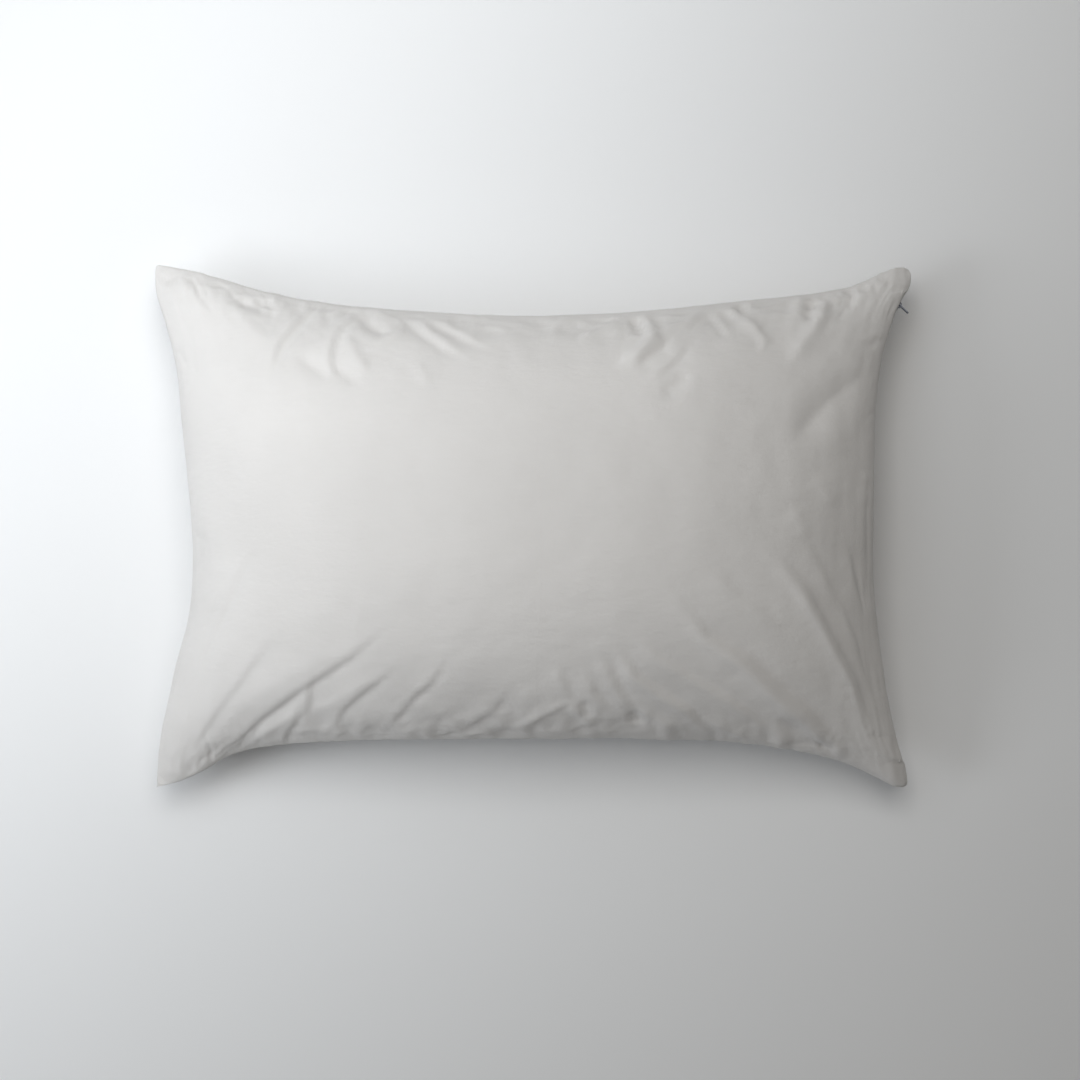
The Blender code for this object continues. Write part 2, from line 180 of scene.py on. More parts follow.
def plan(u, v):
    """Where (u, v), each from -1 to 1, lies in plan: the sides blended across the middle."""
    a, b = ((u + 1) / 2)[..., None], ((v + 1) / 2)[..., None]
    low, high = np.array(-1.0), np.array(1.0)
    corners = (1 - a) * ((1 - b) * front(low) + b * rear(low)) + a * ((1 - b) * front(high) + b * rear(high))
    places = (1 - b) * front(u) + b * rear(u) + (1 - a) * left(v) + a * right(v) - corners
    for side_x, side_y, cut in TIP_CUTS:
        inwards = -TIP_HEADING * (side_x, side_y)
        depth = (places - (side_x * HALF_LENGTH, side_y * HALF_WIDTH)) @ inwards
        blunted = 0.5 * (depth + cut + np.sqrt((depth - cut) ** 2 + TIP_ROUND**2))
        places = places + (blunted - depth)[..., None] * inwards
    return places


def seam_sheet(u, v):
    """The sheet that the seam lies in, midway between the two panels."""
    z = SEAM_Z - CORNER_DROOP * u**2 * v**2
    return np.concatenate([plan(u, v), z[..., None]], -1)


def fullness(u, v):
    """How far the stuffing lifts the panels: nothing at the seams, and 1 in the middle."""
    along = np.clip(1 - np.abs(u) ** CROWN_POWER, 0, 1)
    across = np.clip(1 - np.abs(v) ** CROWN_POWER, 0, 1)
    return (along * across) ** EDGE_POWER


def stations(count, chord):
    """Grid lines from -1 to 1, evenly spaced over the crown but finer towards the seams."""
    u = np.linspace(-1, 1, 4001)
    height = TOP_RISE * np.sqrt(np.clip(1 - np.abs(u) ** CROWN_POWER, 0, 1))
    length = np.r_[0, np.cumsum(np.hypot(np.diff(u * chord), np.diff(height)))]
    t = np.linspace(0, 1, count + 1)
    t = t - EDGE_FINENESS * np.sin(2 * np.pi * t) / (2 * np.pi)
    return np.interp(t * length[-1], length, u)


U, V = np.meshgrid(stations(CLOTH_COLUMNS, MID_LENGTH), stations(CLOTH_ROWS, MID_WIDTH), indexing="ij")
FROM_ENDS = (1 - np.abs(U)) * MID_LENGTH
FROM_LONG_SIDES = (1 - np.abs(V)) * MID_WIDTH


def on_contact(z):
    """Heights below the resting surface laid flat on it, with a soft roll into the flat."""
    roll = (z + CONTACT_ROUND) ** 2 / (4 * CONTACT_ROUND)
    return np.where(z > CONTACT_ROUND, z, np.where(z < -CONTACT_ROUND, 0, roll))


def inset_place(u, v, inset):
    """The place about that many millimetres further in from the corners."""
    return u * (1 - inset / HALF_LENGTH), v * (1 - inset / HALF_WIDTH)


def skin(u, v, upper, inset=0, drop=0):
    """The smooth dome of one panel, or of a layer within it, inset from the seam and lower by the drop."""
    points = seam_sheet(*inset_place(u, v, inset))
    if upper:
        points[..., 2] += (TOP_RISE - drop) * fullness(u, v)
    else:
        points[..., 2] = drop + on_contact(points[..., 2] - drop - (BOTTOM_DEPTH - drop) * fullness(u, v))
    return points


# ---------------------------------------------------------------- the zip's frame
CHAIN_SIDE = np.array([HALF_LENGTH - MID_LENGTH + 1, CORNER_DROOP], float)
CHAIN_SAG = np.linalg.norm(CHAIN_SIDE)
CHAIN_RADIUS = (HALF_WIDTH**2 + CHAIN_SAG**2) / (2 * CHAIN_SAG)


def zip_frame(y):
    """The directions across the zip (up) and out of it, at each y along its arc."""
    across, up = CHAIN_SIDE / CHAIN_SAG
    turn = -np.arcsin(np.clip(y / CHAIN_RADIUS, -1, 1))
    to_arc, along, axis = np.array([-across, 0, up]), np.array([0, -1.0, 0]), np.array([up, 0, across])
    radial = np.cos(turn)[..., None] * to_arc + np.sin(turn)[..., None] * along
    return unit(radial * up + axis * across), unit(-radial * across + axis * up)


def zip_path(y):
    """The chain's centre: just inside the seam's line."""
    share = np.interp(y, right.points[:, 1], right.share)
    _, outward = zip_frame(y)
    return seam_sheet(np.ones_like(share), share) - ZIP_INSET * outward


def zip_place(y, across, out):
    """Places beside the zip: at y along it, that far across it, upwards, and that far out of it."""
    upward, outward = zip_frame(y)
    across, out = np.broadcast_to(across, y.shape), np.broadcast_to(out, y.shape)
    return zip_path(y) + across[..., None] * upward + out[..., None] * outward


def ends_kept(y):
    """The share of its depth that a tape or the lower lip keeps, less at the zip's ends."""
    return 1 - TAPER_SHARE * smoothstep((np.abs(y) - TAPER_FROM) / TAPER_LENGTH)


# ---------------------------------------------------------------- folds
# Each fold: ridge (R), valley (V) or step (S), height, half width, and the points in plan that it runs
# through. A step stands high on its right-hand side, and drops sharply to its left.
LEFT_REAR_FOLDS = (
    ("S", 3.6, 7, (-318, 226), (-310, 220), (-298, 208), (-279, 183)),
    ("R", 2.4, 12, (-300, 222), (-268, 193), (-227, 156)),
    ("V", 2.2, 6, (-262, 200), (-246, 193), (-228, 195)),
    ("S", 4.5, 6, (-192, 190), (-197, 184), (-207, 171), (-217, 157), (-225, 131)),
    ("S", 3.6, 5, (-152, 182), (-166, 171), (-170, 159), (-172, 140), (-164, 124)),
    ("R", 2.7, 7, (-163, 166), (-153, 148), (-138, 128)),
    ("V", 2.4, 8, (-203, 147), (-186, 136), (-169, 125)),
    ("V", 2.2, 7, (-172, 140), (-160, 130), (-146, 119)),
    ("V", 3.6, 6, (-152, 184), (-138, 172), (-122, 166)),
    ("R", 1.7, 3, (-105, 173), (-122, 162), (-140, 152)),
    ("R", 1.8, 6, (-141, 188), (-122, 182), (-104, 170)),
    ("S", 4.2, 7, (-58, 143), (-76, 154), (-92, 166), (-114, 184)),
    ("S", 3.3, 6, (-40, 152), (-56, 160), (-68, 166), (-95, 182)),
    ("R", 1.4, 5, (-101, 141), (-86, 118)),
)
RIGHT_REAR_FOLDS = (
    ("S", 3.3, 5, (36, 154), (45, 166), (59, 174), (80, 181)),
    ("V", 3.3, 4, (88, 183), (92, 172), (96, 162)),
    ("R", 4.5, 4.5, (98, 184), (101, 172), (103, 160), (94, 150), (82, 141), (70, 132)),
    ("R", 3, 4, (103, 162), (118, 169), (131, 174), (152, 184)),
    ("S", 4.8, 7, (118, 163), (108, 152), (97, 145), (84, 131)),
    ("S", 3.3, 7, (136, 156), (124, 143), (112, 131), (100, 122)),
    ("V", 2, 7, (136, 132), (121, 118), (108, 108)),
    ("S", 2.4, 4, (170, 160), (163, 172), (154, 186)),
    ("R", 2.4, 4, (171, 190), (190, 174), (200, 160), (196, 147)),
    ("V", 2.2, 4, (183, 196), (184, 184)),
    ("V", 3.3, 6, (248, 203), (243, 188), (240, 176)),
    ("R", 3.6, 9, (262, 200), (244, 170), (219, 139)),
    ("V", 3.9, 6, (272, 207), (286, 212), (302, 220)),
    ("V", 3.6, 14, (222, 72), (256, 106), (290, 134)),
    ("R", 1.2, 8, (241, 46), (260, 14)),
    ("R", 1.2, 8, (219, 17), (238, -12)),
)
RIGHT_FRONT_FOLDS = (
    ("R", 2.2, 5, (200, -26), (225, -53), (243, -80), (260, -109), (276, -137), (291, -180)),
    ("S", 3.6, 11, (207, -22), (231, -49), (249, -77), (265, -106), (281, -133), (298, -178)),
    ("S", 4.4, 13, (126, -62), (150, -93), (183, -112), (211, -138), (236, -157), (261, -182), (296, -216)),
    ("R", 3.2, 6, (122, -70), (146, -98), (178, -119), (206, -145), (231, -165), (257, -190), (286, -218)),
    ("V", 3.2, 9, (212, -162), (238, -182), (274, -206)),
    ("R", 1.8, 3.5, (69, -103), (86, -130), (109, -146), (132, -160), (148, -177)),
    ("S", 3.2, 7, (72, -100), (89, -126), (112, -142), (135, -156), (152, -175)),
    ("R", 1, 4, (83, -92), (105, -114), (134, -132), (166, -150), (214, -184)),
    ("S", 2.2, 9, (86, -88), (108, -110), (137, -128), (169, -146), (219, -182)),
    ("R", 1.7, 3.5, (146, -163), (169, -175), (196, -187)),
    ("R", 1.6, 3.5, (86, -154), (105, -165), (129, -177)),
    ("S", 2.8, 6, (58, -108), (67, -123), (76, -142), (90, -158)),
    ("S", 2.5, 5.5, (47, -122), (55, -144), (71, -159)),
    ("S", 2.2, 5.5, (22, -118), (35, -148)),
    ("R", 1.8, 4, (28, -148), (38, -158), (53, -173)),
    ("R", 2, 3.5, (34, -148), (7, -162), (-18, -175)),
    ("S", 2, 9, (232, -9), (250, -38), (264, -70)),
    ("S", 1.8, 10, (150, -36), (183, -62), (215, -86)),
    ("S", 2.2, 6, (272, -16), (280, -45), (290, -80)),
    ("S", 2.2, 7, (264, -60), (281, -100), (299, -154)),
    ("R", 1.6, 5, (6, -139), (-14, -168)),
    ("V", 2, 4.5, (43, -148), (49, -167)),
    ("V", 2.2, 5, (85, -158), (94, -173)),
)
LEFT_FRONT_FOLDS = (
    ("S", 2, 9, (-220, -93), (-250, -133), (-274, -161), (-306, -207)),
    ("R", 2, 15, (-149, -98), (-204, -126), (-251, -154), (-296, -204)),
    ("S", 3.2, 8, (-121, -84), (-155, -112), (-186, -132), (-199, -140), (-234, -166), (-270, -197),
     (-292, -214)),
    ("S", 2, 5, (-189, -130), (-191, -150), (-197, -166)),
    ("R", 1.6, 5, (-196, -144), (-208, -163), (-244, -188)),
    ("S", 2.4, 6, (-116, -121), (-148, -145), (-163, -158), (-174, -178)),
    ("S", 2.2, 5, (-197, -159), (-212, -177), (-224, -200)),
    ("R", 1.4, 7, (-143, -160), (-158, -185)),
    ("S", 2.1, 5, (-70, -108), (-86, -134), (-100, -145), (-118, -167), (-134, -187)),
    ("R", 1.2, 6, (-132, -126), (-174, -153), (-195, -162)),
    ("S", 1.6, 5, (-20, -138), (-32, -158), (-62, -178)),
    ("S", 1.4, 5, (3, -137), (-12, -160)),
    ("S", 1.8, 8, (-237, -15), (-260, -61), (-265, -72), (-292, -125)),
    ("R", 1, 4, (-263, -49), (-271, -62), (-278, -76)),
    ("R", 0.6, 4, (-143, -58), (-151, -97)),
    ("V", 1.6, 12, (-292, 2), (-300, -48)),
)
TOP_FOLDS = LEFT_REAR_FOLDS + RIGHT_REAR_FOLDS + RIGHT_FRONT_FOLDS + LEFT_FRONT_FOLDS

# In half widths of a fold: how round its line is, where a valley's rim stands, and how fast folds fade.
CREASE_ROUND = 0.35
STEP_ROUND = 0.6
VALLEY_RIM_AT = 1.7
CREASE_FADE = 1.25
STEP_FADES = (0.9, 1.3)  # on the high side, and on the low side
# As shares of a fold's height: a valley's rim, and what is left of a fold at its ends.
VALLEY_RIM = 0.3
FOLD_END = 0.1


def distance_along(xy, points):
    """Distance from each place to a polyline, positive on its right-hand side, and how far along it the
    nearest point lies, from 0 to 1."""
    points = np.array(points, float)
    lengths = np.linalg.norm(np.diff(points, axis=0), axis=1)
    nearest, share, before = np.full(xy.shape[:2], 1e9), np.zeros(xy.shape[:2]), 0
    for start, end, length in zip(points, points[1:], lengths, strict=False):
        direction = (end - start) / length
        along = np.clip((xy - start) @ direction, 0, length)
        away = xy - start - along[..., None] * direction
        distance = np.linalg.norm(away, axis=-1)
        closer = distance < np.abs(nearest)
        right_hand = np.where(away @ (direction[1], -direction[0]) < 0, -1, 1)
        nearest[closer] = (distance * right_hand)[closer]
        share[closer] = ((before + along) / lengths.sum())[closer]
        before += length
    return nearest, share


def fold_heights(xy, folds):
    """How far the folds lift the cloth or press it in, at each place in plan."""
    total = np.zeros(xy.shape[:2])
    for kind, height, half_width, *points in folds:
        distance, share = distance_along(xy, points)
        ends = smoothstep(3.2 * np.minimum(share, 1 - share))
        distance = distance / (half_width * (0.5 + 0.5 * ends))
        if kind == "S":
            profile = distance / np.sqrt(distance**2 + STEP_ROUND**2)
            profile *= np.exp(-np.where(distance > 0, *STEP_FADES) * np.abs(distance))
        else:
            profile = np.exp(CREASE_FADE * (CREASE_ROUND - np.sqrt(distance**2 + CREASE_ROUND**2)))
        if kind == "V":
            profile = VALLEY_RIM * np.exp(-((np.abs(distance) - VALLEY_RIM_AT) ** 2)) - profile
        total += height * (FOLD_END + (1 - FOLD_END) * ends) * profile
    return total


# ---------------------------------------------------------------- the cloth
def pair_sets(n, step):
    """(first, second) slices of points that lie a step apart, in sets that share no point."""
    sets = []
    for offset in range(2 * step):
        first = range(offset, n - step, 2 * step)
        if first:
            end = first[-1] + 1
            sets.append((slice(offset, end, 2 * step), slice(offset + step, end + step, 2 * step)))
    return sets


def pull_together(points, first, second, rest, stiffness):
    """Moves each pair of points towards its rest length."""
    a, b = points[first], points[second]
    gap = b - a
    length = np.sqrt((gap * gap).sum(-1)) + 1e-9
    move = (0.5 * stiffness * (length - rest) / length)[..., None] * gap
    points[first] = a + move
    points[second] = b - move


STEPS = 16
PASSES = 5  # in each step
PRESSURE = 0.06  # mm a step
MOMENTUM = 0.9  # the share of a step's move that goes on into the next
SHEAR = 0.35  # this and the next two are shares put right in a pass
BENDING = 0.15
SHAPE_HOLD = 0.02


def relaxed(start, target, spare_s, spare_t, outwards):
    """Position-based cloth: it keeps the lengths of the target's cells plus the spare share, swells with the
    stuffing's pressure, and stays sewn along its seams. Outwards is 1 or -1 times the grid's normals."""
    every = slice(None)
    points, speed = start.copy(), np.zeros_like(start)
    length_s = np.linalg.norm(np.diff(target, axis=0), axis=-1) * (1 + spare_s[1:])
    length_t = np.linalg.norm(np.diff(target, axis=1), axis=-1) * (1 + spare_t[:, 1:])
    spare = 1 + 0.5 * (spare_s + spare_t)[1:, 1:]
    rising = np.linalg.norm(target[1:, 1:] - target[:-1, :-1], axis=-1) * spare
    falling = np.linalg.norm(target[1:, :-1] - target[:-1, 1:], axis=-1) * spare
    bend_s, bend_t = length_s[:-1] + length_s[1:], length_t[:, :-1] + length_t[:, 1:]
    sets_s, sets_t = pair_sets(points.shape[0], 1), pair_sets(points.shape[1], 1)
    wide_s, wide_t = pair_sets(points.shape[0], 2), pair_sets(points.shape[1], 2)
    for _ in range(STEPS):
        before = points.copy()
        points = points + MOMENTUM * speed + PRESSURE * grid_normals(points) * outwards
        for _ in range(PASSES):
            for a, b in sets_s:
                pull_together(points, (a, every), (b, every), length_s[a], 1)
            for a, b in sets_t:
                pull_together(points, (every, a), (every, b), length_t[:, a], 1)
            for a, b in sets_s:
                for c, d in sets_t:
                    pull_together(points, (a, c), (b, d), rising[a, c], SHEAR)
                    pull_together(points, (b, c), (a, d), falling[a, c], SHEAR)
            for a, b in wide_s:
                pull_together(points, (a, every), (b, every), bend_s[a], BENDING)
            for a, b in wide_t:
                pull_together(points, (every, a), (every, b), bend_t[:, a], BENDING)
            points += SHAPE_HOLD * (target - points)
            points[..., 2] = np.maximum(points[..., 2], LOWEST)
            for edge in ((0, every), (-1, every), (every, 0), (every, -1)):
                points[edge] = target[edge]
        speed = points - before
    return points


# ---------------------------------------------------------------- the rim
def loop_of(grid):
    """A grid's border as one closed loop, counter-clockwise seen from above."""
    return np.concatenate([grid[:, 0], grid[-1, 1:], grid[-2::-1, -1], grid[0, -2:0:-1]])


LOOP_U, LOOP_V = loop_of(U), loop_of(V)
LOOP_RIGHT = (LOOP_U > 0.9999).astype(float)  # 1 along the zipped side
CORNER_REACH = 0.18  # of a half side
FROM_CORNER = smoothstep((1 - np.minimum(np.abs(LOOP_U), np.abs(LOOP_V))) / CORNER_REACH)

# How the finished seam wanders: seed, width in cells, and how far (outwards, upwards).
SEAM_WANDERS = ((11, 2.2, (0.12, 0.2)), (12, 7, (0.3, 0.7)))
ZIP_CALM = 0.6  # the share of the wander that the zip takes away


def seam_wave():
    """The seam's wander, (outwards, upwards), at each place of the loop."""
    count = len(LOOP_U)
    wave = np.zeros((count, 2))
    for seed, width, spread in SEAM_WANDERS:
        around = np.tile(np.random.default_rng(seed).standard_normal((count, 2)), (3, 1))
        around = blurred(around, width, 0)[count : 2 * count]
        wave += around / around.std(0) * spread
    return wave * ((1 - ZIP_CALM * LOOP_RIGHT) * FROM_CORNER)[:, None]


SEAM_WAVE = seam_wave()
# The rows of the turned-in edge: (off the seam, inwards), and (past the lip, out of the zip).
SEAM_ROWS = ((0.9, 0), (0.5, 0.3), (0.26, 1.0), (0.24, 4), (0.24, ALLOWANCE))
LIP_ROWS = ((0, 0.7), (-0.35, 0.1), (0.2, -0.7), (2.4, -1.15), (4.6, -1.9))
LOWER_LIP_OUT = 0.6


def loop_places(row, upper):
    """One row of the turned-in edge, all round: along the seams it lies between the panels, and along the
    zip it is a lip folded under beside the chain."""
    sign = 1 if upper else -1
    off, inward = SEAM_ROWS[row]
    off = off * (0.3 + 0.7 * FROM_CORNER[:, None])
    edge = seam_sheet(LOOP_U, LOOP_V)
    inner = seam_sheet(LOOP_U * (1 - inward / MID_LENGTH), LOOP_V * (1 - inward / MID_WIDTH))
    step = seam_sheet(LOOP_U * 0.98, LOOP_V * 0.98)
    outward = unit((edge - step) * (1, 1, 0))
    sewn = inner + SEAM_WAVE[:, :1] * outward + (sign * off + SEAM_WAVE[:, 1:]) * np.array([0, 0, 1.0])
    past, out = LIP_ROWS[row]
    y = edge[:, 1]
    gap = LIP_HALF_GAP + LIP_WANDER * np.sin(y / 23.0 + (0 if upper else 2))
    if not upper:
        past, out = past * ends_kept(y), out + LOWER_LIP_OUT
    lip = zip_place(y, sign * (gap + past), out)
    opened = LOOP_RIGHT * smoothstep((LIPS_CLOSED_AT - np.abs(y)) / (LIPS_CLOSED_AT - LIPS_OPEN_TO))
    return sewn * (1 - opened)[:, None] + lip * opened[:, None]


def spread_border(points, border, reach=14):
    """Moves a grid's border onto the loop, and lets the rest follow, less and less further in."""
    ns, nt = points.shape[:2]
    goal = points.copy()
    parts = np.split(border, np.cumsum([ns, nt - 1, ns - 1]))
    goal[:, 0], goal[-1, 1:], goal[-2::-1, -1], goal[0, -2:0:-1] = parts
    for index, away in (
        ((slice(0, 1), slice(None)), (U + 1) * MID_LENGTH),
        ((slice(-1, None), slice(None)), (1 - U) * MID_LENGTH),
        ((slice(None), slice(0, 1)), (V + 1) * MID_WIDTH),
        ((slice(None), slice(-1, None)), (1 - V) * MID_WIDTH),
    ):
        points = points + (goal[index] - points[index]) * np.exp(-away / reach)[..., None]
    return points


# ---------------------------------------------------------------- meshes
def add_mesh(name, vertices, faces, uvs=None, smooth=True):
    mesh = bpy.data.meshes.new(name)
    places = (np.asarray(vertices, float) * MM).tolist()
    mesh.from_pydata(places, [], [[int(corner) for corner in face] for face in faces])
    if uvs is not None:
        layer = mesh.uv_layers.new(name="Cloth")
        index = np.empty(len(mesh.loops), np.int32)
        mesh.loops.foreach_get("vertex_index", index)
        layer.data.foreach_set("uv", (np.asarray(uvs) * MM)[index].astype(np.float32).ravel())
    mesh.polygons.foreach_set("use_smooth", [smooth] * len(mesh.polygons))
    mesh.update()
    obj = bpy.data.objects.new(name, mesh)
    bpy.context.scene.collection.objects.link(obj)
    return obj


def grid_faces(index):
    """Quads between the rows and columns of a grid of vertex numbers."""
    corners = (index[:-1, :-1], index[1:, :-1], index[1:, 1:], index[:-1, 1:])
    return np.stack([corner.ravel() for corner in corners], -1)


def grid_index(ns, nt):
    return np.arange(ns * nt).reshape(ns, nt)


def band_faces(first, second):
    """Quads between two closed rows of vertex numbers."""
    return np.stack([first, second, np.roll(second, -1), np.roll(first, -1)], -1)


def thicken(obj, thickness):
    solid = obj.modifiers.new("Cloth thickness", "SOLIDIFY")
    solid.thickness = thickness * MM
    solid.offset = -1
    solid.use_even_offset = False
    return obj


def cloth_coordinates(points):
    """Where each grid point lies on the flat cloth, from its lengths along the middle."""
    middle_s, middle_t = points[:, points.shape[1] // 2], points[points.shape[0] // 2]
    s = np.r_[0, np.cumsum(np.linalg.norm(np.diff(middle_s, axis=0), axis=-1))]
    t = np.r_[0, np.cumsum(np.linalg.norm(np.diff(middle_t, axis=0), axis=-1))]
    return np.stack(np.meshgrid(s - s[-1] / 2, t - t[-1] / 2, indexing="ij"), -1)


def add_panel(name, points, upper, thickness, rims):
    """A panel as one sheet with thickness: a grid of cloth, and the rows of its edge, each with the stretch
    that its cloth coordinates need."""
    index, uv = grid_index(*points.shape[:2]), cloth_coordinates(points)
    vertices, uvs, faces = [points.reshape(-1, 3)], [uv.reshape(-1, 2)], [grid_faces(index)]
    row, start = loop_of(index), index.size
    for places, stretch in rims:
        vertices.append(places)
        uvs.append(loop_of(uv) * stretch)
        following = np.arange(start, start + len(row))
        faces.append(band_faces(row, following))
        row, start = following, start + len(row)
    faces = np.concatenate(faces)
    faces = faces if upper else faces[:, ::-1]
    return thicken(add_mesh(name, np.concatenate(vertices), faces, np.concatenate(uvs)), thickness)


# ---------------------------------------------------------------- creases and spare cloth
SPARE_EVERYWHERE = 0.003
SPARE_REACH = 35


def spare_cloth(seed, longways, crossways):
    """The share of spare length along each direction: most at the seams, in uneven clusters."""
    ns, nt = U.shape
    cluster_s = np.clip(1 + 0.6 * noise((ns, 1), (9, 0), seed), 0, None)
    cluster_t = np.clip(1 + 0.6 * noise((1, nt), (0, 8), seed + 1), 0, None)
    spare_s = SPARE_EVERYWHERE + longways * np.exp(-FROM_LONG_SIDES / SPARE_REACH) * cluster_s
    spare_t = SPARE_EVERYWHERE + crossways * np.exp(-FROM_ENDS / SPARE_REACH) * cluster_t
    return spare_s, spare_t


TOP_SMALL_FOLDS = {"seed": 5, "count": 52, "lengths": (10, 32), "heights": (0.5, 1.3), "widths": (2.2, 4)}
BOTTOM_FOLDS = {"seed": 6, "count": 110, "lengths": (20, 85), "heights": (1.2, 3), "widths": (4, 8)}
SMALL_FOLDS_TO = 0.93  # of a half side: nearer the corners than that, none start
ON_LONG_SIDES = 0.72  # the share of small folds that start there
FOLD_WANDER = 0.25  # spread in a fold's heading and in its bend, in radians
FOLD_KINDS = "RVSS"  # each as likely as its share of letters


def random_folds(seed, count, lengths, heights, widths):
    """Small folds that start at a seam and run into the panel, leaning towards its middle."""
    rng = np.random.default_rng(seed)
    folds = []
    for _ in range(count):
        along = rng.uniform(-SMALL_FOLDS_TO, SMALL_FOLDS_TO)
        side = rng.integers(0, 2) * 2 - 1
        if rng.random() < ON_LONG_SIDES:
            root = (rear if side > 0 else front)(np.array(along))
            heading = math.atan2(-side, -0.9 * along + rng.normal(0, FOLD_WANDER))
        else:
            root = (right if side > 0 else left)(np.array(along))
            heading = math.atan2(-1.1 * along + rng.normal(0, FOLD_WANDER), -side)
        length = rng.uniform(*lengths) * (0.7 + 0.8 * abs(along))
        bend = rng.normal(0, FOLD_WANDER)
        points, at = [tuple(root)], np.array(root)
        for k in range(3):
            at = at + length / 3 * np.array([math.cos(heading + bend * k), math.sin(heading + bend * k)])
            points.append(tuple(at))
        kind = FOLD_KINDS[rng.integers(0, len(FOLD_KINDS))]
        folds.append((kind, rng.uniform(*heights), rng.uniform(*widths), *points))
    return folds


CRUMPLE_HEIGHT = 1.3
LONG_SIDE_REACH = 18  # how far crumples reach in from each kind of edge
END_REACH = 12
CREASES_KEPT = 0.6  # share of the crumple that is pressed in again once the cloth has settled
TIP_CALM = 30  # within this of a corner the folds fade


def crumple(seed):
    """Small sharp crumples in the cloth next to the seams, most along the long sides."""
    folded = 0.75 - np.abs(noise(U.shape, (2.2, 6), seed)) - 0.5 * np.abs(noise(U.shape, (1.6, 3), seed + 1))
    patches = np.clip(0.7 + 0.5 * noise(U.shape, (12, 8), seed + 2), 0, 1.6)
    reach = np.exp(-FROM_LONG_SIDES / LONG_SIDE_REACH) + 0.35 * np.exp(-FROM_ENDS / END_REACH)
    reach += 0.5 * np.exp(-np.hypot(FROM_ENDS, FROM_LONG_SIDES) / END_REACH)
    return CRUMPLE_HEIGHT * folded * patches * reach


def cover_cloth(upper):
    """The relaxed surface of the top or the bottom panel."""
    outwards = 1 if upper else -1
    shape = skin(U, V, upper)
    normals = grid_normals(shape) * outwards
    plan_places = shape[..., :2]
    if upper:
        heights = fold_heights(plan_places, TOP_FOLDS)
        heights += fold_heights(plan_places, random_folds(**TOP_SMALL_FOLDS))
        spare_s, spare_t = spare_cloth(21, 0.006, 0.004)
    else:
        heights = fold_heights(plan_places, random_folds(**BOTTOM_FOLDS))
        spare_s, spare_t = spare_cloth(31, 0.008, 0.006)
    creased = crumple(61 if upper else 71)
    heights += creased
    from_tip = np.hypot(FROM_ENDS, FROM_LONG_SIDES)
    fade = np.clip(6 * fullness(U, V), 0.2, 1) * (0.15 + 0.85 * smoothstep(from_tip / TIP_CALM))
    heights = heights * fade + 0.25 * noise(U.shape, (5, 5), 8) + 0.12 * noise(U.shape, (2, 2), 9)
    target = shape + heights[..., None] * normals
    target = spread_border(target, loop_places(0, upper))
    target[..., 2] = np.maximum(target[..., 2], LOWEST)
    start = target + (0.4 * noise(U.shape, (3, 3), 10) * fade)[..., None] * normals
    cloth = relaxed(start, target, spare_s, spare_t, outwards)
    clear = smoothstep((np.minimum(FROM_ENDS, FROM_LONG_SIDES) - 1) / 6)
    cloth += (CREASES_KEPT * creased * fade * clear)[..., None] * normals
    cloth[..., 2] = np.maximum(cloth[..., 2], LOWEST)
    return cloth


# ---------------------------------------------------------------- materials
def linear(channel):
    channel /= 255
    return channel / 12.92 if channel <= 0.04045 else ((channel + 0.055) / 1.055) ** 2.4


def srgb(*channels):
    return tuple(linear(channel) for channel in channels)


